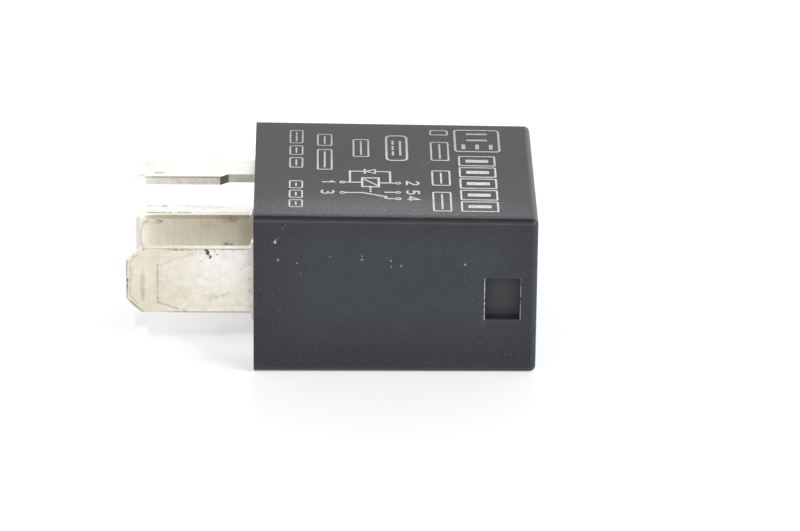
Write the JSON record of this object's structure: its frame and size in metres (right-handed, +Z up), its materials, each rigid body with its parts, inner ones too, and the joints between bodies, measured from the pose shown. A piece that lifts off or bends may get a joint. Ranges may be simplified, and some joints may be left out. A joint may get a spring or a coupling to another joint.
{
  "type": "automotive relay",
  "caption": "Plug-in automotive micro relay: black box cover with side pockets and flat tinned blades, with coil, magnet frame, hinged armature and contacts inside.",
  "frame": {"origin": "middle of the cover's rim, where the relay seats on its socket", "axes": "+X from the blades to the closed end, +Y across the wide face, +Z up out of the wide face it lies on"},
  "size_m": [0.0363, 0.0224, 0.015],
  "materials": {
    "cover_plastic": "fine-grained moulded black nylon",
    "base_plastic": "moulded black nylon",
    "tinned_brass": "matt tin plate, slightly stained",
    "contact_silver": "satin",
    "plated_iron": "zinc plated",
    "core_iron": "turned, nickel plated",
    "bobbin_plastic": "moulded natural nylon",
    "coil_wire": "enamelled copper wire",
    "spring_bronze": "rolled bronze strip",
    "diode_resin": "moulded resin",
    "lead_tin": "tinned wire",
    "rivet_steel": "plated"
  },
  "bodies": {
    "housing": {"cover": "cover_plastic", "base": "base_plastic", "coil_terminal_1": "tinned_brass", "coil_terminal_2": "tinned_brass", "common_terminal": "tinned_brass", "no_terminal": "tinned_brass", "nc_terminal": "tinned_brass", "no_contact": "contact_silver", "nc_contact": "contact_silver", "yoke": "plated_iron", "core": "core_iron", "bobbin": "bobbin_plastic", "winding": "coil_wire", "diode": "diode_resin", "diode_leads": "lead_tin", "yoke_rivets": "rivet_steel"},
    "armature": {"armature": "plated_iron", "contact_spring": "spring_bronze", "moving_contact": "contact_silver", "armature_rivets": "rivet_steel"}
  },
  "joints": [
    {"name": "armature_swing", "type": "hinge", "parent": "housing", "child": "armature", "pos_m": [0.01905, -0.00845, 0], "axis": [0, 0, 1], "range_deg": [0, 3], "stiffness_Nm_per_rad": 0.23, "springref_deg": -2.01, "deforming": ["contact_spring"]}
  ]
}
